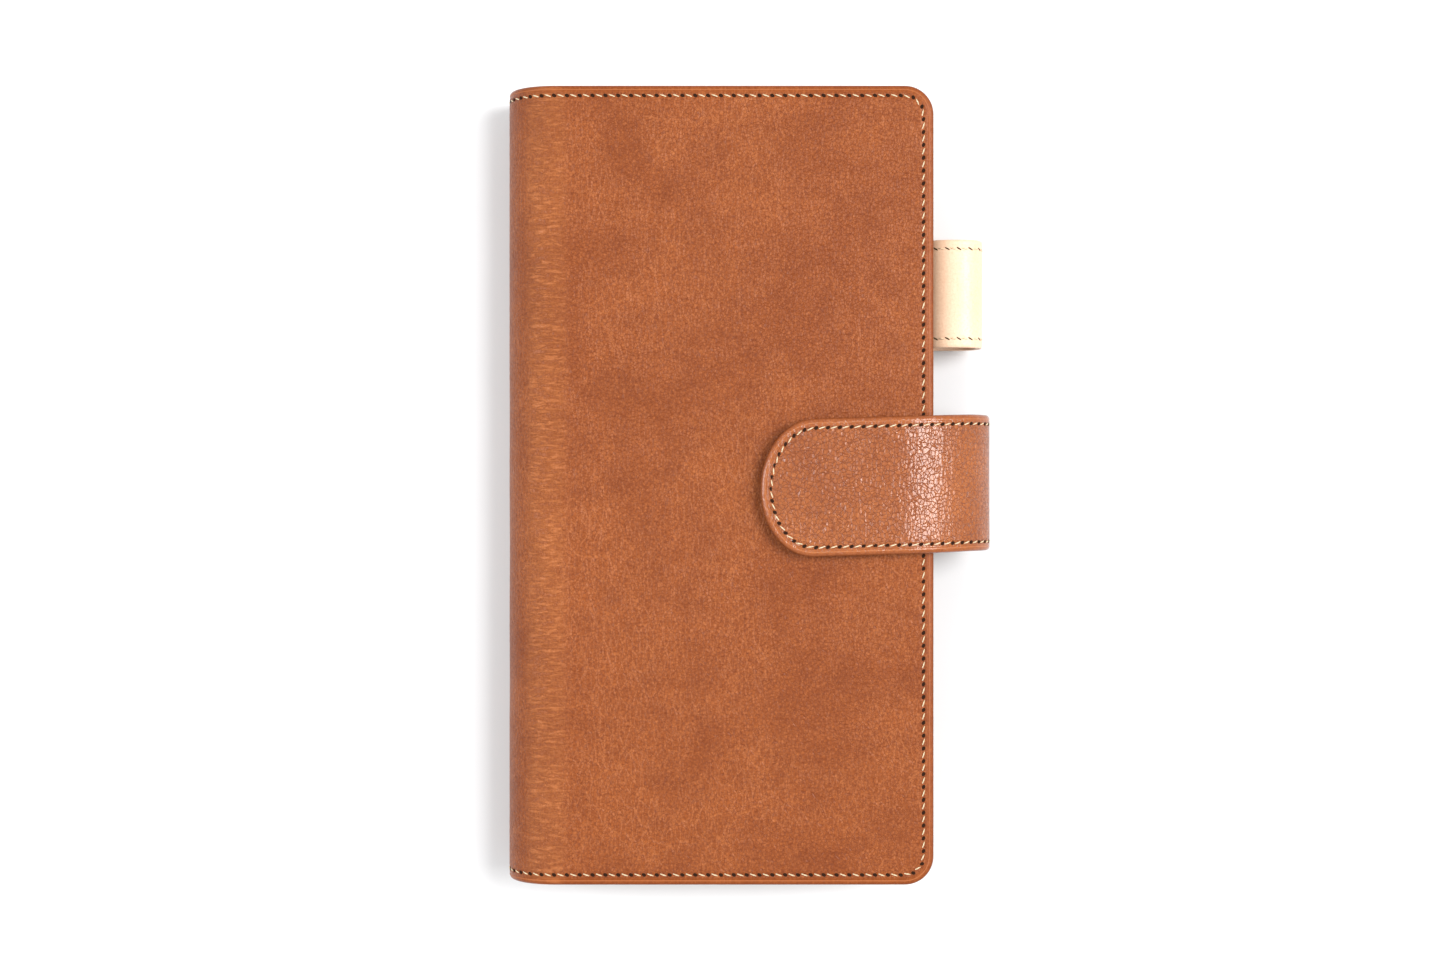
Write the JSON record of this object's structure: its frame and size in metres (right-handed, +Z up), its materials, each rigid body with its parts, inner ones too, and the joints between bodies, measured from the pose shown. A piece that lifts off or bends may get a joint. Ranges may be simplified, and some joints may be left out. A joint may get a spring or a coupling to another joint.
{
  "type": "long wallet",
  "caption": "Book-style long leather wallet with a rounded spine, a snap strap over the fore-edge, a pen loop, card slots, a bill compartment and a zipped coin pocket.",
  "frame": {"origin": "bottom centre of the bounding box of the closed wallet lying on its back cover", "axes": "+X from the spine to the fore-edge, +Y along the spine towards the pen loop's end, +Z up through the front cover"},
  "size_m": [0.1192, 0.195, 0.0286],
  "materials": {
    "tan_leather": "semi-gloss vegetable-tanned grain",
    "lining_leather": "matte smooth",
    "leather_board": "matte bonded board",
    "natural_leather": "smooth undyed",
    "snap_metal": "satin",
    "zip_tape": "woven",
    "zip_coil": "satin",
    "zip_metal": "polished"
  },
  "bodies": {
    "back_cover": {"back_leather": "tan_leather", "back_board": "leather_board", "back_lining": "lining_leather", "strap_base_outer": "tan_leather", "strap_base_lining": "lining_leather", "pen_loop_leather": "natural_leather", "pen_loop_lining": "natural_leather", "bill_gusset_top": "lining_leather", "bill_gusset_bottom": "lining_leather", "bill_spine_edge": "lining_leather", "coin_rear_wall": "lining_leather", "coin_front_wall": "lining_leather", "coin_gusset_top": "lining_leather", "coin_gusset_bottom": "lining_leather", "coin_spine_edge": "lining_leather", "zip_tape_rear": "zip_tape", "zip_tape_front": "zip_tape", "zip_coil_rear": "zip_coil", "zip_coil_front": "zip_coil", "zip_stop_top": "zip_metal", "zip_stop_bottom": "zip_metal"},
    "spine": {"spine_leather": "tan_leather", "spine_lining": "lining_leather"},
    "front_cover": {"front_leather": "tan_leather", "front_board": "leather_board", "front_lining": "lining_leather", "card_slot_1": "lining_leather", "card_slot_2": "lining_leather", "card_slot_3": "lining_leather", "card_slot_4": "lining_leather", "snap_stud": "snap_metal", "snap_stud_rivet": "snap_metal"},
    "strap_bend": {"strap_bend_outer": "tan_leather", "strap_bend_lining": "lining_leather"},
    "strap_flap": {"strap_flap_outer": "tan_leather", "strap_flap_lining": "lining_leather", "snap_socket": "snap_metal", "snap_cap": "snap_metal"},
    "slider": {"zip_slider": "zip_metal"},
    "pull": {"zip_pull": "zip_metal"}
  },
  "joints": [
    {"name": "cover_lower_fold", "type": "hinge", "parent": "back_cover", "child": "spine", "pos_m": [-0.05609, 0, 0.00351], "axis": [0, -1, 0], "range_deg": [0, 90]},
    {"name": "cover_upper_fold", "type": "hinge", "parent": "spine", "child": "front_cover", "pos_m": [-0.05609, 0, 0.02048], "axis": [0, -1, 0], "range_deg": [0, 90]},
    {"name": "strap_root_fold", "type": "hinge", "parent": "back_cover", "child": "strap_bend", "pos_m": [0.05548, 0, 0.00456], "axis": [0, 1, 0], "range_deg": [0, 90]},
    {"name": "strap_flap_fold", "type": "hinge", "parent": "strap_bend", "child": "strap_flap", "pos_m": [0.05548, 0, 0.02443], "axis": [0, 1, 0], "range_deg": [0, 90]},
    {"name": "zip_slide", "type": "slide", "parent": "back_cover", "child": "slider", "axis": [0, 1, 0], "range_m": [0, 0.152]},
    {"name": "pull_turn", "type": "hinge", "parent": "slider", "child": "pull", "pos_m": [0.0403, -0.076, 0.0109], "axis": [0, 0, -1], "range_deg": [0, 176]}
  ],
  "couplings": [
    {"joint": "cover_upper_fold", "follows": "cover_lower_fold", "ratio": 1},
    {"joint": "strap_flap_fold", "follows": "strap_root_fold", "ratio": 1}
  ]
}
